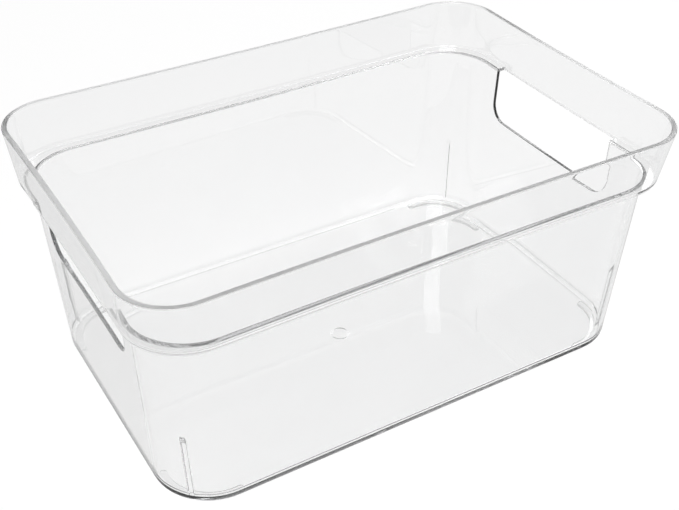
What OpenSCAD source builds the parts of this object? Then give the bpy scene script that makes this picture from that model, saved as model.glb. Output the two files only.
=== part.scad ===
// Clear storage bin for a fridge shelf: one thin moulded shell with a stepped collar,
// a finger opening in each end and four low feet under its base corners.
// Millimetres. The origin is under the middle of the base, on the plane the feet rest on.
// X runs along the length, Y across the width and Z up.

/* [Overall size] */
// Length over the rim
rim_l = 342; // [280:1:420]
// Width over the rim
rim_w = 229; // [200:1:290]
// Height of the shell, from the underside of its base to the rim
shell_h = 151; // [120:1:190]
// Radius of the rim's corners, in plan
rim_corner_r = 31; // [24:0.5:40]

/* [Walls] */
// Thickness of the side and end walls
wall = 2.2; // [1.6:0.1:3]
// Thickness of the floor
floor_t = 2.4; // [1.6:0.1:3.4]
// How far each wall leans in from the ledge down to the base
body_draft = 5.7; // [2:0.1:9]
// Radius of the body's corners just under the ledge
body_corner_r = 34.5; // [28:0.5:42]
// Radius of the base's corners
base_corner_r = 35.5; // [28:0.5:44]
// Rounding where the walls meet the underside of the base
base_edge_r = 3; // [1.5:0.1:5]
// Rounding inside, where the walls meet the floor
floor_edge_r = 4; // [2:0.1:6]

/* [Collar] */
// Height of the collar, from the rim to its lower edge
collar_h = 33; // [26:0.5:40]
// How far the collar leans in from the rim to its lower edge
collar_draft = 3; // [1:0.1:4]
// Width of the ledge between the collar and the body
ledge_w = 5.8; // [4:0.1:8]
// Radius of the corners at the collar's lower edge
collar_corner_r = 35; // [28:0.5:42]
// Rounding of the collar's lower edge
collar_edge_r = 1.5; // [0.5:0.1:3]
// Thickness of the collar at the rim, where it is thickest
rim_t = 3.4; // [3:0.1:4]
// Size of the bevel on the rim's outer edge
rim_edge_r = 0.6; // [0.2:0.1:0.8]

/* [Finger openings] */
// Width of each opening
grip_w = 113; // [70:1:120]
// Height of each opening, below the collar
grip_h = 34.5; // [20:0.5:45]
// Radius of the opening's lower corners
grip_low_r = 12; // [6:0.5:16]
// Radius of the opening's upper corners
grip_top_r = 1; // [0.5:0.1:4]
// Height above the opening over which the collar's inner face is relieved
relief_h = 25; // [10:0.5:25]
// Thickness left in the collar at the top of the opening
lip_t = 1.7; // [1.2:0.1:2.2]

/* [Corner ribs] */
// Width of the upright rib in each inner corner
rib_w = 2.6; // [1.6:0.1:4]
// How far a rib stands out from the corner
rib_out = 2.4; // [1.2:0.1:4]
// Height of a rib's shoulder above the underside of the base
rib_h = 46; // [20:1:70]
// Height of the slanted top of a rib
rib_slant = 5; // [1:0.5:10]

/* [Gate mark] */
// Diameter of the ring that the moulding gate leaves on the floor
gate_d = 12; // [6:0.5:16]
// Width of the ring
gate_ring_w = 1.2; // [0.4:0.1:1.5]
// Height of the ring
gate_ring_h = 0.3; // [0.2:0.1:0.8]
// How far the ring lies from the middle of the floor towards the left end
gate_left = 5; // [0:0.5:15]
// How far the ring lies from the middle of the floor towards the front
gate_front = 8.5; // [0:0.5:15]

/* [Feet] */
// Height of the feet
foot_h = 2; // [1:0.1:4]
// Width of a foot's band
foot_w = 5; // [3:0.1:7]
// Flat margin left between the base's rounded edge and a foot
foot_margin = 0.2; // [0.2:0.1:3]
// Length of the straight run at each end of a foot
foot_run = 2; // [1:0.5:14]

/* [Hidden] */
clear_plastic = [0.93, 0.94, 0.95, 0.55];
hull_fn = 48;
arc_fn = 96;
// Thickness of the slices that the tapered walls are stretched between
slice_t = 0.01;
// Overshoot of a cut past the surface that it breaks through
cut_over = 1;
// Steps in a rounded edge of the shell
edge_steps = 4;

base_z = foot_h;
rim_z = base_z + shell_h;
ledge_under_z = rim_z - collar_h;
ledge_top_z = ledge_under_z + wall;
floor_z = base_z + floor_t;
ledge_inset = collar_draft + ledge_w;
base_inset = ledge_inset + body_draft;
grip_top_z = ledge_under_z;
grip_low_z = grip_top_z - grip_h;
base_centre_x = rim_l / 2 - base_inset - base_corner_r;
base_centre_y = rim_w / 2 - base_inset - base_corner_r;

// How far the body's wall stands in from the rim at a height
function body_inset(z) = base_inset - body_draft * (z - base_z) / (ledge_under_z - base_z);

// Radius of the body's corners at a height
function body_r(z) = base_corner_r
    + (body_corner_r - base_corner_r) * (z - base_z) / (ledge_under_z - base_z);

// How far the collar stands in from the rim at a height
function collar_inset(z) = collar_draft * (rim_z - z) / collar_h;

// Radius of the collar's corners at a height
function collar_r(z) = rim_corner_r + (collar_corner_r - rim_corner_r) * (rim_z - z) / collar_h;

// Thickness of the collar at a height: a wall's at the ledge, and more towards the rim
function collar_t(z) = wall + (rim_t - wall) * (z - ledge_top_z) / (rim_z - ledge_top_z);

// A thin slice of the bin's rounded outline, a given distance in from the rim
module slice(inset, r, z) {
    translate([0, 0, z])
        linear_extrude(slice_t)
            for (x = [-1, 1], y = [-1, 1])
                translate([x * (rim_l / 2 - inset - r), y * (rim_w / 2 - inset - r)])
                    circle(r, $fn = hull_fn);
}

// A solid with the body's taper, set in by a distance, with its lower edge rounded
module body_solid(inward, low_z, high_z, edge_r) {
    hull() {
        for (i = [0 : edge_steps]) {
            turn = 90 * i / edge_steps;
            z = low_z + edge_r * (1 - sin(turn));
            slice(body_inset(z) + inward + edge_r * (1 - cos(turn)),
                body_r(z) - inward - edge_r * (1 - cos(turn)), z);
        }
        slice(body_inset(high_z) + inward, body_r(high_z) - inward, high_z - slice_t);
    }
}

// The collar's outer solid, with its lower edge rounded and its upper edge bevelled
module collar_outside() {
    hull() {
        for (i = [0 : edge_steps]) {
            turn = 90 * i / edge_steps;
            z = ledge_under_z + collar_edge_r * (1 - sin(turn));
            in = collar_inset(z) + collar_edge_r * (1 - cos(turn));
            slice(in, collar_r(z) - in + collar_inset(z), z);
        }
        slice(collar_inset(rim_z - rim_edge_r), rim_corner_r, rim_z - rim_edge_r);
        slice(rim_edge_r, rim_corner_r - rim_edge_r, rim_z - slice_t);
    }
}

// The space inside the collar, with its lower edge rounded, reaching above the rim
module collar_space() {
    edge_r = collar_edge_r / 2;
    top_z = rim_z + cut_over;
    hull() {
        for (i = [0 : edge_steps]) {
            turn = 90 * i / edge_steps;
            z = ledge_top_z + edge_r * (1 - sin(turn));
            in = collar_t(z) + edge_r * (1 - cos(turn));
            slice(collar_inset(z) + in, collar_r(z) - in, z);
        }
        slice(collar_inset(top_z) + collar_t(top_z), rim_corner_r - collar_t(top_z), top_z);
    }
}

// The opening's outline: square at the sides, rounded at its four corners
module grip_outline(top_y) {
    low_y = grip_low_z;
    translate([-grip_w / 2, low_y + grip_low_r])
        square([grip_w, top_y - low_y - grip_low_r - grip_top_r]);
    translate([-grip_w / 2 + grip_low_r, low_y])
        square([grip_w - 2 * grip_low_r, grip_low_r]);
    translate([-grip_w / 2 + grip_top_r, top_y - grip_top_r])
        square([grip_w - 2 * grip_top_r, grip_top_r]);
    for (x = [-1, 1]) {
        translate([x * (grip_w / 2 - grip_low_r), low_y + grip_low_r])
            circle(grip_low_r, $fn = arc_fn);
        translate([x * (grip_w / 2 - grip_top_r), top_y - grip_top_r])
            circle(grip_top_r, $fn = arc_fn);
    }
}

// Both openings, cut along the bin's length
module grip_cuts() {
    rotate([90, 0, 90])
        translate([0, 0, -rim_l / 2 - cut_over])
            linear_extrude(rim_l + 2 * cut_over)
                grip_outline(grip_top_z);
}

// The relief above an opening: takes away the ledge there and thins the collar's inner face
module relief_cut(end) {
    inner_x = rim_l / 2 - ledge_inset - wall - cut_over;
    lip_x = rim_l / 2 - collar_draft - lip_t;
    fade_z = grip_top_z + relief_h;
    fade_x = rim_l / 2 - collar_inset(fade_z) - collar_t(fade_z);
    mirror([end < 0 ? 1 : 0, 0, 0])
        rotate([90, 0, 0])
            translate([0, 0, -grip_w / 2])
                linear_extrude(grip_w)
                    polygon([
                        [inner_x, grip_top_z - grip_top_r],
                        [lip_x, grip_top_z - grip_top_r],
                        [lip_x, grip_top_z],
                        [fade_x, fade_z],
                        [inner_x, fade_z]
                    ]);
}

// The upright rib in an inner corner, drawn in the plane through the corner's bisector
module corner_rib(x, y) {
    foot_r = base_corner_r - wall;
    shoulder_z = base_z + rib_h;
    tip_z = shoulder_z + rib_slant;
    // The corner's centre moves out and its radius shrinks on the way up
    lean = (body_draft + base_corner_r - body_corner_r) * sqrt(2)
        + body_corner_r - base_corner_r;
    rise = ledge_under_z - base_z;
    function wall_r(z) = foot_r + lean * (z - base_z) / rise;
    mirror([x < 0 ? 1 : 0, 0, 0])
        mirror([0, y < 0 ? 1 : 0, 0])
            translate([base_centre_x, base_centre_y, 0])
                rotate([90, 0, 45])
                    translate([0, 0, -rib_w / 2])
                        linear_extrude(rib_w)
                            polygon([
                                [wall_r(floor_z) - rib_out, floor_z - floor_t / 2],
                                [wall_r(base_z) - wall / 2, floor_z - floor_t / 2],
                                [wall_r(tip_z) + wall / 2, tip_z],
                                [wall_r(shoulder_z) - rib_out, shoulder_z]
                            ]);
}

// The shallow ring that the moulding gate leaves near the middle of the floor
module gate_mark() {
    translate([-gate_left, -gate_front, floor_z - floor_t / 2])
        difference() {
            cylinder(h = floor_t / 2 + gate_ring_h, d = gate_d, $fn = arc_fn);
            cylinder(h = floor_t / 2 + gate_ring_h + cut_over, d = gate_d - 2 * gate_ring_w,
                $fn = arc_fn);
        }
}

// The whole moulding: floor, walls, ledge, collar and rim in one piece of plastic
module bin_shell() {
    color(clear_plastic) {
        difference() {
            union() {
                body_solid(0, base_z, ledge_under_z + collar_edge_r, base_edge_r);
                collar_outside();
            }
            body_solid(wall, floor_z, ledge_top_z + cut_over, floor_edge_r);
            collar_space();
            grip_cuts();
            relief_cut(-1);
            relief_cut(1);
        }
        for (x = [-1, 1], y = [-1, 1])
            corner_rib(x, y);
        gate_mark();
    }
}

// One foot: a flat band that follows a base corner and runs a little way along both sides
module foot(x, y) {
    outer_r = base_corner_r - base_edge_r - foot_margin;
    end_r = foot_w / 2;
    color(clear_plastic)
        mirror([x < 0 ? 1 : 0, 0, 0])
            mirror([0, y < 0 ? 1 : 0, 0])
                translate([base_centre_x, base_centre_y, 0])
                    linear_extrude(foot_h) {
                        intersection() {
                            difference() {
                                circle(outer_r, $fn = arc_fn);
                                circle(outer_r - foot_w, $fn = arc_fn);
                            }
                            square(outer_r);
                        }
                        translate([-foot_run, outer_r - foot_w])
                            square([foot_run, foot_w]);
                        translate([outer_r - foot_w, -foot_run])
                            square([foot_w, foot_run]);
                        translate([-foot_run, outer_r - end_r])
                            circle(end_r, $fn = arc_fn);
                        translate([outer_r - end_r, -foot_run])
                            circle(end_r, $fn = arc_fn);
                    }
}

module front_left_foot() { foot(-1, -1); }
module front_right_foot() { foot(1, -1); }
module back_left_foot() { foot(-1, 1); }
module back_right_foot() { foot(1, 1); }

bin_shell();
front_left_foot();
front_right_foot();
back_left_foot();
back_right_foot();
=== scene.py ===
import math
from collections import namedtuple

import bmesh
import bpy
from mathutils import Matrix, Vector


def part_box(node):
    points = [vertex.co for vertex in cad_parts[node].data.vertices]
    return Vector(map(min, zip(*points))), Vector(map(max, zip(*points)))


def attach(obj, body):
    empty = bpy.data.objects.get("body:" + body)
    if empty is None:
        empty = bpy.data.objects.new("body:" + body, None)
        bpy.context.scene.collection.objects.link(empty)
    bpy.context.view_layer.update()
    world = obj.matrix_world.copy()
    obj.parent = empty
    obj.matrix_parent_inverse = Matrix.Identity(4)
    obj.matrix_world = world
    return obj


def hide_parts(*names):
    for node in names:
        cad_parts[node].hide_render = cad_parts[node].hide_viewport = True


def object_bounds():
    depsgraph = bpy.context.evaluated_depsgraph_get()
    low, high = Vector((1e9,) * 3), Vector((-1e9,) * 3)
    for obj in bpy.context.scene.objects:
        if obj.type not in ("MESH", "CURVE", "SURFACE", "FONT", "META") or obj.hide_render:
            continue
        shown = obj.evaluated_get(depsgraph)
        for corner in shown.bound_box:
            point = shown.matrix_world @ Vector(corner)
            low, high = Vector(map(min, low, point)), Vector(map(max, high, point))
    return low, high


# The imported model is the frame. Lengths below are in millimetres until MM turns them into metres.
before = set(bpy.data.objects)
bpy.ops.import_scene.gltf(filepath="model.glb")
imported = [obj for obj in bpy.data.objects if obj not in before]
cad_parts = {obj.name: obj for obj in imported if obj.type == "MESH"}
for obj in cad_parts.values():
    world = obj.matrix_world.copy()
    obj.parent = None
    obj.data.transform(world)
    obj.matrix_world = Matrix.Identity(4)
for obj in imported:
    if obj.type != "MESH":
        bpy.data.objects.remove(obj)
CAD_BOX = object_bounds()
MM = 0.001

# --------------------------------------------------------------------------------------
# Sizes of the moulding, as in the CAD
# --------------------------------------------------------------------------------------
HALF_L = (CAD_BOX[1].x - CAD_BOX[0].x) / 2 / MM
HALF_W = (CAD_BOX[1].y - CAD_BOX[0].y) / 2 / MM
RIM_Z = CAD_BOX[1].z / MM
BASE_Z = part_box("bin_shell")[0].z / MM

WALL = 2.2
FLOOR_Z = BASE_Z + 2.4
COLLAR_H = 33
COLLAR_DRAFT = 3
LEDGE_W = 5.8
BODY_DRAFT = 5.7
RIM_R = 31
COLLAR_R = 35
BODY_R = 34.5
BASE_R = 35.5

BASE_EDGE = 3
FLOOR_EDGE = 4
COLLAR_EDGE = 1.5
RIM_T = 3.4
RIM_EDGE = 0.6
# The fillet inside the step under the collar, and the rounding of the ledge's inner edge
LEDGE_FILLET = 0.8
LEDGE_ROUND = 0.2
# How far the moulding has pulled the middle of each wall in at the rim, as it cooled
BOW_END = 1.0
BOW_LONG = 1.3

GRIP_HALF = 56.5
GRIP_H = 34.5
GRIP_R = 12
GRIP_EDGE = 0.3
# The relief above an opening deepens fast below its top and slowly near the opening
RELIEF_H = 25
RELIEF_CURVE = 0.6
LIP = 1.7

RIB_OUT = 2.4
RIB_SHOULDER = 46
RIB_SLANT = 5

GATE_R = 6
GATE_RING = 1.2
GATE_H = 0.3
GATE_AT = (-5, -8.5)
# Radius of the circle round the gate mark that the base's and the floor's flat rows start from
GATE_CLEAR_R = GATE_R + 3

FOOT_W = 5
FOOT_MARGIN = 0.2
FOOT_RUN = 2
FOOT_ROUND = 0.5
# Air left between a foot and the base, so that two clear faces never lie in one plane
FOOT_GAP = 0.05

LEDGE_Z = RIM_Z - COLLAR_H
LEDGE_TOP = LEDGE_Z + WALL
BASE_INSET = COLLAR_DRAFT + LEDGE_W + BODY_DRAFT
GRIP_LOW = LEDGE_Z - GRIP_H
GRIP_ARC_Z = GRIP_LOW + GRIP_R
GRIP_ARC_Y = GRIP_HALF - GRIP_R
RELIEF_Z = LEDGE_Z + RELIEF_H


def mix(a, b, t):
    return a + (b - a) * t


def sin_deg(angle):
    return math.sin(math.radians(angle))


def cos_deg(angle):
    return math.cos(math.radians(angle))


# --------------------------------------------------------------------------------------
# The walls' slopes: how far in from the rim a face stands at a height, and its corners' radius
# --------------------------------------------------------------------------------------
def body_face(z, inward=0.0):
    rise = (z - BASE_Z) / (LEDGE_Z - BASE_Z)
    return BASE_INSET - BODY_DRAFT * rise + inward, mix(BASE_R, BODY_R, rise) - inward


def collar_face(z, inward=0.0):
    drop = (RIM_Z - z) / COLLAR_H
    return COLLAR_DRAFT * drop + inward, mix(RIM_R, COLLAR_R, drop) - inward


def collar_inner(z):
    """The collar's inner face. The collar thickens from a wall's thickness to the rim's."""
    return collar_face(z, mix(WALL, RIM_T, (z - LEDGE_TOP) / (RIM_Z - LEDGE_TOP)))


def relief_face(z):
    """The collar's inner face above an opening, thinned towards the opening."""
    drop = ((RELIEF_Z - z) / RELIEF_H) ** RELIEF_CURVE
    inset, radius = collar_inner(RELIEF_Z)
    return mix(inset, COLLAR_DRAFT + LIP, drop), radius


# --------------------------------------------------------------------------------------
# Columns: places round the bin. Each quadrant runs from the middle of an end wall, round its
# corner, to the middle of a long wall, and the quadrants are mirrored copies of one another.
# --------------------------------------------------------------------------------------
Column = namedtuple("Column", "kind at low_y high_y sx sy rib")

# Columns that follow the round of an opening's lower corner, by their angle along it. The last
# three are bunched at the opening's side higher up: the relief ends between the first two of them.
ARC_STEPS = (10, 20, 30)
ARC_RELIEF = 40
ARC_PLAIN = 45
ARC_SIDE = 50
RELIEF_STOPS = GRIP_HALF - 0.7
PLAIN_STARTS = GRIP_HALF - 0.55
# Columns just past an opening, by their distance from its side
PAST_GRIP = (1.5, 3.5, 6)
# Distance past an opening's side at which a row that it lifted is level again
LEVEL_AFTER = 8
HOLE_R = GRIP_R + GRIP_EDGE
# Half of a rib's section: distance along the wall and share of the rib's full height
RIB_PROFILE = ((0, 1), (0.8, 1), (1.1, 0.97), (1.3, 0.8), (1.38, 0.3), (1.5, 0.02), (1.9, 0))
CORNER_STEPS = (0, 6, 12, 18, 24, 30, 36, 40)
LONG_STEPS = (0.05, 0.15, 0.3, 0.45, 0.6, 0.8, 1)


def arc_y(angle):
    return GRIP_ARC_Y + HOLE_R * sin_deg(angle)


def arc_z(angle):
    return GRIP_ARC_Z - HOLE_R * cos_deg(angle)


def quadrant(sx, sy):
    """The columns of one quadrant, in order from the end wall's middle to the long wall's."""
    columns = []

    def end(low_y, high_y=None, angle=None):
        columns.append(Column("end", angle, low_y, low_y if high_y is None else high_y, sx, sy, 0))

    for share in (0, 1 / 3, 2 / 3, 1):
        end(GRIP_ARC_Y * share)
    for angle in ARC_STEPS:
        end(arc_y(angle), angle=angle)
    end(arc_y(ARC_RELIEF), RELIEF_STOPS, ARC_RELIEF)
    end(arc_y(ARC_PLAIN), PLAIN_STARTS, ARC_PLAIN)
    end(arc_y(ARC_SIDE), GRIP_HALF + GRIP_EDGE, ARC_SIDE)
    for past in PAST_GRIP:
        end(GRIP_HALF + past)

    inner_r = BASE_R - WALL
    turns = [(angle, 0) for angle in CORNER_STEPS]
    turns += [(45 - math.degrees(s / inner_r), h) for s, h in reversed(RIB_PROFILE)]
    turns += [(90 - angle, h) for angle, h in reversed(turns[:-1])]
    for angle, h in turns:
        columns.append(Column("corner", angle, 0, 0, sx, sy, h))
    for t in LONG_STEPS:
        columns.append(Column("long", t, 0, 0, sx, sy, 0))
    return columns


def ring_of_columns():
    loop = []
    for sx, sy in ((1, 1), (-1, 1), (-1, -1), (1, -1)):
        part = quadrant(sx, sy)
        if sx * sy < 0:
            part.reverse()
        loop += part[1:] if loop else part
    return loop[:-1]


def place(column, inset, radius, z, y=None):
    """The point of a column on the bin's rounded outline, set in from the rim."""
    hx = HALF_L - inset
    hy = HALF_W - inset
    rise = (z - BASE_Z) / (RIM_Z - BASE_Z)
    if column.kind == "end":
        y = column.low_y if y is None else y
        point = (hx - BOW_END * rise * (1 - (y / (hy - radius)) ** 2), y)
    elif column.kind == "corner":
        point = (hx - radius + radius * cos_deg(column.at), hy - radius + radius * sin_deg(column.at))
    else:
        point = ((hx - radius) * (1 - column.at), hy - BOW_LONG * rise * (1 - (1 - column.at) ** 2))
    return point[0] * column.sx, point[1] * column.sy


# --------------------------------------------------------------------------------------
# Rows: closed loops from the middle of the base, up the outside, over the rim and down to
# the middle of the floor. "warp" is how much of the opening's curve a row near it takes.
# --------------------------------------------------------------------------------------
Row = namedtuple("Row", "face z inset radius warp name rib")


def row(face, z, inset=0.0, radius=0.0, warp=0.0, name="", rib=0.0):
    return Row(face, z, inset, radius, warp, name, rib)


def fillet_turns(steps):
    return [90 * i / steps for i in range(steps + 1)]


# Rows below an opening, which take up its curve on the way, and rows beside it, by their angle
# along the round of its lower corner and then by their share of the way up its side
APPROACH = (1, 0.6, 0.3, 0.08)
APPROACH_H = 12
BESIDE = (60, 70, 80, 90)
UP_THE_SIDE = (0.35, 0.7, 1)
SIDE_TOP = LEDGE_Z - 2.5


def grip_rows(face):
    """Rows beside an opening, from the one under it up to the last before the ledge."""
    rows = [row(face, arc_z(0) - APPROACH_H * share, warp=1 - share) for share in APPROACH]
    rows.append(row(face, arc_z(0), warp=1, name="sill"))
    rows += [row(face, arc_z(angle), name=f"arc{angle}") for angle in BESIDE]
    for share in UP_THE_SIDE:
        rows.append(row(face, mix(GRIP_ARC_Z, SIDE_TOP, share), name=f"side{share}"))
    return rows


def outer_rows():
    rows = []
    for share in (0.12, 0.35, 0.65, 0.93):
        rows.append(row("flat", BASE_Z, BASE_INSET + BASE_EDGE, BASE_R - BASE_EDGE, warp=share))
    for turn in reversed(fillet_turns(6)):
        z = BASE_Z + BASE_EDGE * (1 - sin_deg(turn))
        inset, radius = body_face(z)
        bulge = BASE_EDGE * (1 - cos_deg(turn))
        rows.append(row("fixed", z, inset + bulge, radius - bulge))
    rows += [row("body", z) for z in (6.5, 20, 40, 58)]
    rows += grip_rows("body")
    for i, turn in enumerate(fillet_turns(3)):
        z = LEDGE_Z - LEDGE_FILLET * (1 - sin_deg(turn))
        inset, radius = body_face(z)
        bulge = LEDGE_FILLET * (1 - cos_deg(turn))
        rows.append(row("fixed", z, inset - bulge, radius + bulge, name=f"step{i}"))
    for i, turn in enumerate(reversed(fillet_turns(4))):
        z = LEDGE_Z + COLLAR_EDGE * (1 - sin_deg(turn))
        inset, radius = collar_face(z)
        bulge = COLLAR_EDGE * (1 - cos_deg(turn))
        rows.append(row("fixed", z, inset + bulge, radius - bulge, warp=i / 4, name="skirt"))
    rows += [row("collar", z) for z in (LEDGE_Z + 2.4, 128, 136, RELIEF_Z, 150)]
    for turn in fillet_turns(3):
        z = RIM_Z - RIM_EDGE * (1 - sin_deg(turn))
        inset, radius = collar_face(z)
        bulge = RIM_EDGE * (1 - cos_deg(turn))
        rows.append(row("fixed", z, inset + bulge, radius - bulge))
    return rows


def inner_rows():
    rows = []
    for turn in reversed(fillet_turns(3)):
        z = RIM_Z - RIM_EDGE * (1 - sin_deg(turn))
        inset, radius = collar_inner(z)
        bulge = RIM_EDGE * (1 - cos_deg(turn))
        rows.append(row("fixed", z, inset - bulge, radius + bulge))
    rows += [row("collar_in", z) for z in (150, RELIEF_Z, 141, 136, 128)]
    for i, turn in enumerate(fillet_turns(3)):
        z = LEDGE_TOP + LEDGE_FILLET * (1 - sin_deg(turn))
        inset, radius = collar_inner(z)
        bulge = LEDGE_FILLET * (1 - cos_deg(turn))
        rows.append(row("fixed", z, inset + bulge, radius - bulge, warp=1 - i / 3, name="skirt"))
    for i, turn in enumerate(reversed(fillet_turns(3))):
        z = LEDGE_TOP - LEDGE_ROUND * (1 - sin_deg(turn))
        inset, radius = body_face(z, WALL)
        bulge = LEDGE_ROUND * (1 - cos_deg(turn))
        rows.append(row("fixed", z, inset - bulge, radius + bulge, name=f"step{3 - i}"))
    rows += reversed(grip_rows("body_in"))
    tip = BASE_Z + RIB_SHOULDER + RIB_SLANT
    shoulder = BASE_Z + RIB_SHOULDER
    rows.append(row("body_in", tip + 1))
    for share in (0, 0.1, 0.5, 0.9, 1):
        rows.append(row("body_in", mix(tip, shoulder, share), rib=share))
    rows += [row("body_in", z, rib=1) for z in (shoulder - 1.5, 28, 14)]
    for turn in fillet_turns(7):
        z = FLOOR_Z + FLOOR_EDGE * (1 - sin_deg(turn))
        inset, radius = body_face(z, WALL)
        bulge = FLOOR_EDGE * (1 - cos_deg(turn))
        rib = max(0, 1 - bulge / RIB_OUT)
        rows.append(row("fixed", z, inset + bulge, radius - bulge, rib=rib))
    floor_inset, floor_r = body_face(FLOOR_Z, WALL)
    for share in (0.97, 0.7, 0.4, 0.15):
        rows.append(row("flat", FLOOR_Z, floor_inset + FLOOR_EDGE, floor_r - FLOOR_EDGE, warp=share))
    for radius, share in gate_profile():
        rows.append(row("circle", FLOOR_Z + GATE_H * share, radius=radius))
    return rows


def gate_profile():
    """The radius and the share of its height of each row over the gate's ring, from outside in."""
    middle = GATE_R - GATE_RING / 2
    half = GATE_RING / 2
    outer = [(middle + half * (1.4 - 1.1 * t), sin_deg(90 * t) ** 2) for t in (0, 0.3, 0.6, 1)]
    inner = [(2 * middle - r, h) for r, h in reversed(outer)]
    return [(GATE_R + 2, 0)] + outer + inner + [(GATE_R / 2, 0)]


def shift_near_grip(column, share):
    """How far a row under an opening is lifted where it passes round the opening's corner."""
    if column.kind != "end" or share == 0:
        return 0
    if column.at:
        lift = arc_z(column.at) - arc_z(0)
    elif column.low_y > GRIP_HALF:
        past = (column.low_y - GRIP_HALF) / LEVEL_AFTER
        lift = (arc_z(ARC_SIDE) - arc_z(0)) * (1 - past)
    else:
        lift = 0
    return lift * share


def grip_column(column):
    """Whether a column passes through an opening."""
    return column.kind == "end" and column.high_y < GRIP_HALF


def at_grip(column):
    """Whether a column passes through an opening or bounds it."""
    return column.kind == "end" and column.high_y <= GRIP_HALF + GRIP_EDGE


def floor_point(r, column):
    """A point of a level row: on a circle round the gate, or part of the way out from one."""
    circle = r.face == "circle"
    x, y = place(column, r.inset or BASE_INSET, BASE_R if circle else r.radius, BASE_Z)
    reach = math.hypot(x - GATE_AT[0], y - GATE_AT[1])
    ring = r.radius if circle else GATE_CLEAR_R
    ring_x = GATE_AT[0] + (x - GATE_AT[0]) / reach * ring
    ring_y = GATE_AT[1] + (y - GATE_AT[1]) / reach * ring
    share = 0 if circle else r.warp
    return mix(ring_x, x, share), mix(ring_y, y, share), r.z


def shell_point(r, column):
    """Where a row crosses a column, in millimetres."""
    if r.face in ("flat", "circle"):
        return floor_point(r, column)

    z = r.z
    above = z > LEDGE_Z - LEDGE_FILLET - 0.01
    y = column.high_y if above else column.low_y
    through = grip_column(column)
    relieved = through and column.at != ARC_PLAIN
    if r.face in ("body", "body_in"):
        z += shift_near_grip(column, r.warp)
        inset, radius = body_face(z, WALL if r.face == "body_in" else 0)
        if column.at == ARC_SIDE and r.name.startswith("arc"):
            y = arc_y(float(r.name[3:]))
        elif column.at == ARC_SIDE and r.name.startswith("side"):
            y = column.high_y
    elif r.face == "collar":
        inset, radius = collar_face(z)
    elif r.face == "collar_in":
        inset, radius = relief_face(z) if relieved and z < RELIEF_Z else collar_inner(z)
    else:
        inset, radius = r.inset, r.radius
        if through and r.name == "skirt":
            outside = r.inset < COLLAR_DRAFT + COLLAR_EDGE + 0.01
            top = LEDGE_Z + COLLAR_EDGE if outside else LEDGE_TOP + LEDGE_FILLET
            z = mix(LEDGE_Z + GRIP_EDGE, top, r.warp)
            if outside:
                inset, radius = collar_face(z)
            else:
                inset, radius = relief_face(z) if relieved else collar_inner(z)

    x, y = place(column, inset, radius, z, y)
    if r.rib and column.rib:
        out = RIB_OUT * min(r.rib, 1) * column.rib / math.sqrt(2)
        x -= out * column.sx
        y -= out * column.sy
    return x, y, z


# --------------------------------------------------------------------------------------
# The shell's mesh
# --------------------------------------------------------------------------------------
class Grid:
    """Rows times columns of vertices, made when a face first needs them."""

    def __init__(self, mesh, rows, columns):
        self.mesh = mesh
        self.rows = rows
        self.columns = columns
        self.made = {}

    def vertex(self, j, i):
        i %= len(self.columns)
        if (j, i) not in self.made:
            point = Vector(shell_point(self.rows[j], self.columns[i])) * MM
            self.made[j, i] = self.mesh.verts.new(point)
        return self.made[j, i]

    def quad(self, j, i):
        near = (self.vertex(j, i), self.vertex(j, i + 1))
        far = (self.vertex(j + 1, i + 1), self.vertex(j + 1, i))
        self.mesh.faces.new(near + far)

    def fan(self, j, z):
        middle = self.mesh.verts.new(Vector((GATE_AT[0], GATE_AT[1], z)) * MM)
        for i in range(len(self.columns)):
            self.mesh.faces.new((self.vertex(j, i), self.vertex(j, i + 1), middle))


def named(rows, name):
    return next(j for j, r in enumerate(rows) if r.name == name)


# Which way an opening's edge is rounded at its upper corners, as shares of the rounding
TOP_CORNER_WAY = (-0.1, -0.3)


def hole_path(columns, end, sill, top, sides):
    """The (row, column, direction into the hole) of each vertex round one opening, in order."""
    reach = [i for i, c in enumerate(columns) if c.sx == end and at_grip(c)]
    reach.sort(key=lambda i: columns[i].high_y * columns[i].sy)
    path = []
    for i in reach:
        side = columns[i].sy
        turn = columns[i].at or 0
        path.append((sill, i, (-sin_deg(turn) * side, cos_deg(turn))))
    for rows, i, side in ((sides, reach[-1], 1), (list(reversed(sides)), reach[0], -1)):
        if side < 0:
            path += [(top, k, (0, -1)) for k in reversed(reach[1:-1])]
        for j, turn in rows:
            way = (-sin_deg(turn), cos_deg(turn)) if j != top else TOP_CORNER_WAY
            path.append((j, i, (way[0] * columns[i].sy, way[1])))
    return path


def bridge_opening(mesh, grid, outer, inner):
    """Closes an opening's thickness, with both of its edges rounded."""
    loops = []
    edge = GRIP_EDGE * MM
    for (j, i, way), (k, m, _) in zip(outer, inner):
        first = grid.vertex(j, i)
        last = grid.vertex(k, m)
        into = Vector((0, way[0], way[1]))
        thick = (last.co - first.co).length
        line = [first]
        half_turns = [(t, 0) for t in (30, 60, 90)] + [(t, 1) for t in (90, 60, 30)]
        for turn, far in half_turns:
            depth = edge * (1 - cos_deg(turn))
            depth = thick - depth if far else depth
            spot = first.co.lerp(last.co, depth / thick) + into * edge * sin_deg(turn)
            line.append(mesh.verts.new(spot))
        line.append(last)
        loops.append(line)
    for line, following in zip(loops, loops[1:] + loops[:1]):
        for a, b, c, d in zip(line, following, following[1:], line[1:]):
            mesh.faces.new((a, b, c, d))


def opening_rows(rows, offset):
    """The rows that bound an opening on one face of the wall: its sill, its top and its sides."""
    sides = [(offset + named(rows, f"arc{angle}"), angle) for angle in BESIDE]
    sides += [(offset + j, 90) for j, r in enumerate(rows) if r.name.startswith("side")]
    sides += [(offset + named(rows, f"step{i}"), 90) for i in range(4)]
    skirts = [offset + j for j, r in enumerate(rows) if r.name == "skirt"]
    return offset + named(rows, "sill"), skirts, sides


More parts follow.
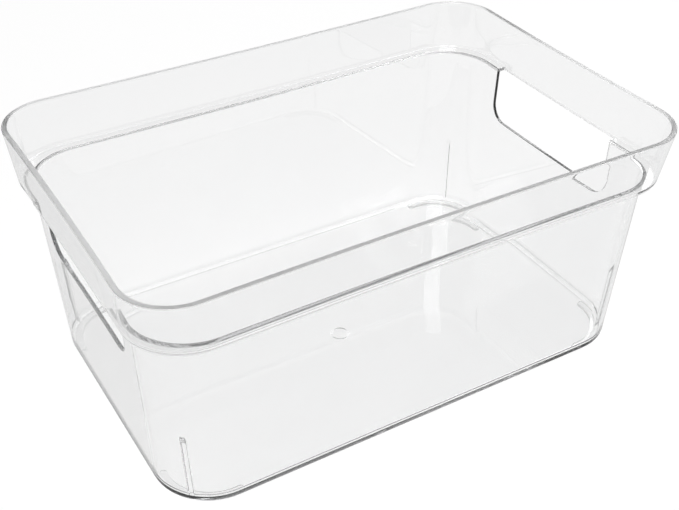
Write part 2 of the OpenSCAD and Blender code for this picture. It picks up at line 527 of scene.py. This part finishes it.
def build_shell():
    mesh = bmesh.new()
    columns = ring_of_columns()
    outside = outer_rows()
    inside = inner_rows()
    grid = Grid(mesh, outside + inside, columns)
    out_sill, out_skirts, out_sides = opening_rows(outside, 0)
    in_sill, in_skirts, in_sides = opening_rows(inside, len(outside))
    out_top, in_top = out_skirts[0], in_skirts[-1]
    in_sides.sort(key=lambda side: -side[0])
    out_sides.append((out_top, 90))
    in_sides.append((in_top, 90))

    through = [at_grip(c) for c in columns]
    for j in range(len(grid.rows) - 1):
        cut = out_sill <= j < out_top or in_top <= j < in_sill
        for i in range(len(columns)):
            if not (cut and through[i] and through[(i + 1) % len(columns)]):
                grid.quad(j, i)
    grid.fan(0, BASE_Z)
    grid.fan(len(grid.rows) - 1, FLOOR_Z)

    for end in (-1, 1):
        outer = hole_path(columns, end, out_sill, out_top, out_sides)
        inner = hole_path(columns, end, in_sill, in_top, in_sides)
        bridge_opening(mesh, grid, outer, inner)
    return as_object(mesh, "bin_shell_moulding")


def as_object(mesh, name):
    bmesh.ops.recalc_face_normals(mesh, faces=mesh.faces)
    data = bpy.data.meshes.new(name)
    mesh.to_mesh(data)
    mesh.free()
    data.polygons.foreach_set("use_smooth", [True] * len(data.polygons))
    piece = bpy.data.objects.new(name, data)
    bpy.context.scene.collection.objects.link(piece)
    weighted = piece.modifiers.new("weighted_normals", "WEIGHTED_NORMAL")
    weighted.mode = "FACE_AREA"
    weighted.weight = 60
    return piece


# --------------------------------------------------------------------------------------
# The feet: a band with rounded edges that follows a base corner
# --------------------------------------------------------------------------------------
def foot_centre_line():
    """Points of one foot's centre line and the way its outer side faces, from end to end."""
    radius = BASE_R - BASE_EDGE - FOOT_MARGIN - FOOT_W / 2
    cx = HALF_L - BASE_INSET - BASE_R
    cy = HALF_W - BASE_INSET - BASE_R
    line = [((cx + radius, cy - FOOT_RUN * (1 - t)), 0) for t in (0, 0.5)]
    for angle in range(0, 91, 6):
        line.append(((cx + radius * cos_deg(angle), cy + radius * sin_deg(angle)), angle))
    line += [((cx - FOOT_RUN * t, cy + radius), 90) for t in (0.5, 1)]
    return line


def foot_outline(inward):
    """The closed outline of a foot, set in by a distance: its outer side, an end, its inner side, an end."""
    half = FOOT_W / 2 - inward
    line = foot_centre_line()
    outline = [(x + half * cos_deg(a), y + half * sin_deg(a)) for (x, y), a in line]
    (x, y), facing = line[-1]
    outline += [(x + half * cos_deg(facing + t), y + half * sin_deg(facing + t)) for t in range(15, 180, 15)]
    outline += [(x - half * cos_deg(a), y - half * sin_deg(a)) for (x, y), a in reversed(line)]
    (x, y), facing = line[0]
    outline += [(x - half * cos_deg(facing + t), y - half * sin_deg(facing + t)) for t in range(15, 180, 15)]
    return outline


def build_foot(name, sx, sy):
    top = BASE_Z - FOOT_GAP
    levels = [(FOOT_ROUND * (1 - cos_deg(t)), FOOT_ROUND * (1 - sin_deg(t))) for t in (90, 60, 30, 0)]
    levels += [(FOOT_ROUND * (1 - cos_deg(t)), top - FOOT_ROUND * (1 - sin_deg(t))) for t in (0, 30, 60, 90)]
    mesh = bmesh.new()
    rings = []
    for inward, z in levels:
        points = foot_outline(inward)
        rings.append([mesh.verts.new(Vector((x * sx, y * sy, z)) * MM) for x, y in points])
    for low, high in zip(rings, rings[1:]):
        for a, b, c, d in zip(low, low[1:] + low[:1], high[1:] + high[:1], high):
            mesh.faces.new((a, b, c, d))
    for ring in (rings[0], rings[-1]):
        cap_band(mesh, ring)
    return as_object(mesh, name)


def cap_band(mesh, ring):
    """Fills a foot's flat face with quads from its outer side across to its inner side."""
    count = len(foot_centre_line())
    ends = len(range(15, 180, 15))
    outer = ring[:count]
    inner = list(reversed(ring[count + ends:2 * count + ends]))
    for a, b, c, d in zip(outer, outer[1:], inner[1:], inner):
        mesh.faces.new((a, b, c, d))
    mesh.faces.new([outer[-1]] + ring[count:count + ends] + [inner[-1]])
    mesh.faces.new([inner[0]] + ring[2 * count + ends:] + [outer[0]])


# --------------------------------------------------------------------------------------
# Materials
# --------------------------------------------------------------------------------------
# Roughness that wear adds to the rim's top, and to the two bands of HAZY_EDGES
RIM_HAZE = 0.45
EDGE_HAZE = 0.3
# The middle and half height of the collar's lower edge and of the base's outer edge
HAZY_EDGES = ((LEDGE_Z + 0.85, 0.75), (BASE_Z + 1.2, 1.05))
# The floor's own light as a share of all its light, and its strength seen through and off the bin, lowered
# there as painted shade so the floor looks grey in the plastic though white to the camera
GLOW_SHARE = 0.86
SHADED_GLOW_THROUGH = 0.93
SHADED_GLOW_MIRRORED = 0.6


class Nodes:
    """A short way to add and join shader nodes."""

    def __init__(self, name):
        self.material = bpy.data.materials.new(name)
        self.material.use_nodes = True
        self.tree = self.material.node_tree
        self.tree.nodes.clear()

    def add(self, kind, **settings):
        node = self.tree.nodes.new(kind)
        for key, value in settings.items():
            if key in node.inputs:
                node.inputs[key].default_value = value
            else:
                setattr(node, key, value)
        return node

    def join(self, source, target):
        self.tree.links.new(source, target)


def noise(nodes, coordinates, scale, detail, roughness=0.5):
    texture = nodes.add("ShaderNodeTexNoise", Scale=scale, Detail=detail, Roughness=roughness)
    nodes.join(coordinates, texture.inputs["Vector"])
    return texture.outputs["Fac"]


def ranged(nodes, value, low, high, from_low=0.3, from_high=0.7):
    spread = nodes.add("ShaderNodeMapRange")
    spread.inputs["From Min"].default_value = from_low
    spread.inputs["From Max"].default_value = from_high
    spread.inputs["To Min"].default_value = low
    spread.inputs["To Max"].default_value = high
    nodes.join(value, spread.inputs["Value"])
    return spread.outputs["Result"]


def clear_plastic(name, density, smooth, rough):
    """Clear moulded plastic: gloss that varies with the flow of the melt, haze on the edges that
    take wear, a faint ripple, and a body that takes light out of long paths through it."""
    nodes = Nodes(name)
    where = nodes.add("ShaderNodeTexCoord").outputs["Object"]
    flow = noise(nodes, where, 9, 2)
    fine = noise(nodes, where, 70, 4, 0.6)

    tint = nodes.add("ShaderNodeMixRGB")
    tint.inputs["Color1"].default_value = (0.985, 0.985, 0.985, 1)
    tint.inputs["Color2"].default_value = (0.955, 0.957, 0.958, 1)
    nodes.join(flow, tint.inputs["Fac"])

    ripple = nodes.add("ShaderNodeBump", Strength=0.05, Distance=0.0005)
    nodes.join(flow, ripple.inputs["Height"])
    grain = nodes.add("ShaderNodeBump", Strength=0.02, Distance=0.0001)
    nodes.join(fine, grain.inputs["Height"])
    nodes.join(ripple.outputs["Normal"], grain.inputs["Normal"])

    plastic = nodes.add("ShaderNodeBsdfPrincipled")
    plastic.inputs["Transmission Weight"].default_value = 1
    plastic.inputs["IOR"].default_value = 1.57
    nodes.join(tint.outputs["Color"], plastic.inputs["Base Color"])
    height = nodes.add("ShaderNodeSeparateXYZ")
    nodes.join(where, height.inputs["Vector"])
    worn = nodes.add("ShaderNodeMath", operation="MULTIPLY")
    top = (RIM_Z - RIM_EDGE) * MM
    nodes.join(ranged(nodes, height.outputs["Z"], 0, RIM_HAZE, top, RIM_Z * MM), worn.inputs[0])
    nodes.join(ranged(nodes, flow, 0.8, 1), worn.inputs[1])
    total = worn.outputs["Value"]
    for middle, half in HAZY_EDGES:
        band = nodes.add("ShaderNodeMath", operation="COMPARE")
        nodes.join(height.outputs["Z"], band.inputs[0])
        band.inputs[1].default_value = middle * MM
        band.inputs[2].default_value = half * MM
        haze = nodes.add("ShaderNodeMath", operation="MULTIPLY_ADD")
        nodes.join(band.outputs["Value"], haze.inputs[0])
        haze.inputs[1].default_value = EDGE_HAZE
        nodes.join(total, haze.inputs[2])
        total = haze.outputs["Value"]
    gloss = nodes.add("ShaderNodeMath", operation="ADD")
    nodes.join(ranged(nodes, fine, smooth, rough), gloss.inputs[0])
    nodes.join(total, gloss.inputs[1])
    nodes.join(gloss.outputs["Value"], plastic.inputs["Roughness"])
    nodes.join(grain.outputs["Normal"], plastic.inputs["Normal"])

    # Shadow rays pass almost straight through, as light does through thin clear walls
    lets_light = nodes.add("ShaderNodeBsdfTransparent", Color=(0.93, 0.93, 0.93, 1))
    path = nodes.add("ShaderNodeLightPath")
    choose = nodes.add("ShaderNodeMixShader")
    nodes.join(path.outputs["Is Shadow Ray"], choose.inputs["Fac"])
    nodes.join(plastic.outputs["BSDF"], choose.inputs[1])
    nodes.join(lets_light.outputs["BSDF"], choose.inputs[2])

    body = nodes.add("ShaderNodeVolumeAbsorption", Color=(0.20, 0.21, 0.22, 1), Density=density)
    output = nodes.add("ShaderNodeOutputMaterial")
    nodes.join(choose.outputs["Shader"], output.inputs["Surface"])
    nodes.join(body.outputs["Volume"], output.inputs["Volume"])
    return nodes.material


def white_sweep():
    """The floor: white where the camera sees it, dimmed by painted shade where it is seen through
    or off the bin, with part of its light left to a plain matt surface that keeps the bin's shadow."""
    nodes = Nodes("floor_white")
    where = nodes.add("ShaderNodeTexCoord").outputs["Object"]
    matt = nodes.add("ShaderNodeBsdfDiffuse", Color=(0.92, 0.92, 0.92, 1))
    speckle = nodes.add("ShaderNodeBump", Strength=0.02, Distance=0.0002)
    nodes.join(noise(nodes, where, 300, 2), speckle.inputs["Height"])
    nodes.join(speckle.outputs["Normal"], matt.inputs["Normal"])
    glow = nodes.add("ShaderNodeEmission", Color=(1, 1, 1, 1), Strength=1)

    path = nodes.add("ShaderNodeLightPath")
    seen = None
    for ray in ("Is Camera Ray", "Is Glossy Ray", "Is Transmission Ray"):
        if seen is None:
            seen = path.outputs[ray]
            continue
        either = nodes.add("ShaderNodeMath", operation="MAXIMUM")
        nodes.join(seen, either.inputs[0])
        nodes.join(path.outputs[ray], either.inputs[1])
        seen = either.outputs["Value"]
    # Painted shade: the floor's glow is dimmed where it is seen through the plastic, and dimmed more where
    # it is seen in the plastic's reflections, though the camera sees it white
    through = nodes.add("ShaderNodeMapRange")
    through.inputs["To Min"].default_value = SHADED_GLOW_MIRRORED
    through.inputs["To Max"].default_value = SHADED_GLOW_THROUGH
    nodes.join(path.outputs["Is Transmission Ray"], through.inputs["Value"])
    white = nodes.add("ShaderNodeMapRange")
    nodes.join(through.outputs["Result"], white.inputs["To Min"])
    white.inputs["To Max"].default_value = 1
    nodes.join(path.outputs["Is Camera Ray"], white.inputs["Value"])
    nodes.join(white.outputs["Result"], glow.inputs["Strength"])
    share = nodes.add("ShaderNodeMath", operation="MULTIPLY")
    nodes.join(seen, share.inputs[0])
    share.inputs[1].default_value = GLOW_SHARE

    choose = nodes.add("ShaderNodeMixShader")
    nodes.join(share.outputs["Value"], choose.inputs["Fac"])
    nodes.join(matt.outputs["BSDF"], choose.inputs[1])
    nodes.join(glow.outputs["Emission"], choose.inputs[2])
    output = nodes.add("ShaderNodeOutputMaterial")
    nodes.join(choose.outputs["Shader"], output.inputs["Surface"])
    return nodes.material


# --------------------------------------------------------------------------------------
# Floor, lights, world and camera
# --------------------------------------------------------------------------------------
def build_floor():
    side = 30.0
    mesh = bmesh.new()
    bmesh.ops.create_grid(mesh, x_segments=4, y_segments=4, size=side / 2)
    data = bpy.data.meshes.new("floor")
    mesh.to_mesh(data)
    mesh.free()
    floor = bpy.data.objects.new("floor", data)
    bpy.context.scene.collection.objects.link(floor)
    data.materials.append(white_sweep())


def soft_light(name, place_at, aim, size, power):
    data = bpy.data.lights.new(name, "AREA")
    data.shape = "RECTANGLE"
    data.size, data.size_y = size
    data.energy = power
    light = bpy.data.objects.new(name, data)
    light.location = place_at
    light.rotation_euler = (Vector(aim) - Vector(place_at)).to_track_quat("-Z", "Y").to_euler()
    bpy.context.scene.collection.objects.link(light)


def build_world():
    """A studio that is pale at the horizon and grey overhead, so that clear edges pick up grey."""
    world = bpy.data.worlds.new("studio")
    bpy.context.scene.world = world
    world.use_nodes = True
    tree = world.node_tree
    tree.nodes.clear()
    direction = tree.nodes.new("ShaderNodeTexCoord")
    split = tree.nodes.new("ShaderNodeSeparateXYZ")
    ramp = tree.nodes.new("ShaderNodeValToRGB")
    background = tree.nodes.new("ShaderNodeBackground")
    output = tree.nodes.new("ShaderNodeOutputWorld")
    ramp.color_ramp.elements[0].position = 0.0
    ramp.color_ramp.elements[0].color = (0.75, 0.75, 0.75, 1)
    ramp.color_ramp.elements[1].position = 0.85
    ramp.color_ramp.elements[1].color = (0.38, 0.38, 0.38, 1)
    back = tree.nodes.new("ShaderNodeMapRange")
    back.inputs["From Min"].default_value = -0.8
    back.inputs["From Max"].default_value = 0.8
    back.inputs["To Min"].default_value = 0.35
    back.inputs["To Max"].default_value = 1.25
    tree.links.new(direction.outputs["Generated"], split.inputs["Vector"])
    tree.links.new(split.outputs["Z"], ramp.inputs["Fac"])
    tree.links.new(split.outputs["Y"], back.inputs["Value"])
    tree.links.new(ramp.outputs["Color"], background.inputs["Color"])
    tree.links.new(back.outputs["Result"], background.inputs["Strength"])
    tree.links.new(background.outputs["Background"], output.inputs["Surface"])


IMAGE_W = 679
SENSOR = 36.0
FOCAL_IN_IMAGE = 1120.4
TILT = 35.68
TURN = 30.53
CAMERA_AT = (-288.5, -489.9, 466.7)


def build_camera():
    data = bpy.data.cameras.new("camera")
    data.sensor_width = SENSOR
    data.lens = SENSOR * FOCAL_IN_IMAGE / IMAGE_W
    camera = bpy.data.objects.new("camera", data)
    camera.location = Vector(CAMERA_AT) * MM
    camera.rotation_euler = (math.radians(90 - TILT), 0, -math.radians(TURN))
    bpy.context.scene.collection.objects.link(camera)
    bpy.context.scene.camera = camera


# --------------------------------------------------------------------------------------
# The scene
# --------------------------------------------------------------------------------------
shell = build_shell()
shell.data.materials.append(clear_plastic("clear_shell_plastic", 4, 0.0, 0.03))
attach(shell, "root")
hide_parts("bin_shell")

foot_plastic = clear_plastic("clear_foot_plastic", 8, 0.02, 0.06)
for side, sy in (("front", -1), ("back", 1)):
    for hand, sx in (("left", -1), ("right", 1)):
        node = f"{side}_{hand}_foot"
        foot = build_foot(f"{node}_band", sx, sy)
        foot.data.materials.append(foot_plastic)
        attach(foot, "root")
        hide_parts(node)

build_floor()
soft_light("key", (-0.6, -1.2, 1.6), (0, 0, 0), (1.2, 1.2), 32)
soft_light("fill", (1.4, 0.4, 1.4), (0, 0, 0), (1.0, 1.6), 18)
build_world()
build_camera()
scene = bpy.context.scene
scene.view_settings.view_transform = "Standard"
# Light that enters an edge runs a long way inside the thin walls before it comes out again
scene.cycles.max_bounces = 40
scene.cycles.glossy_bounces = 40
scene.cycles.transmission_bounces = 40
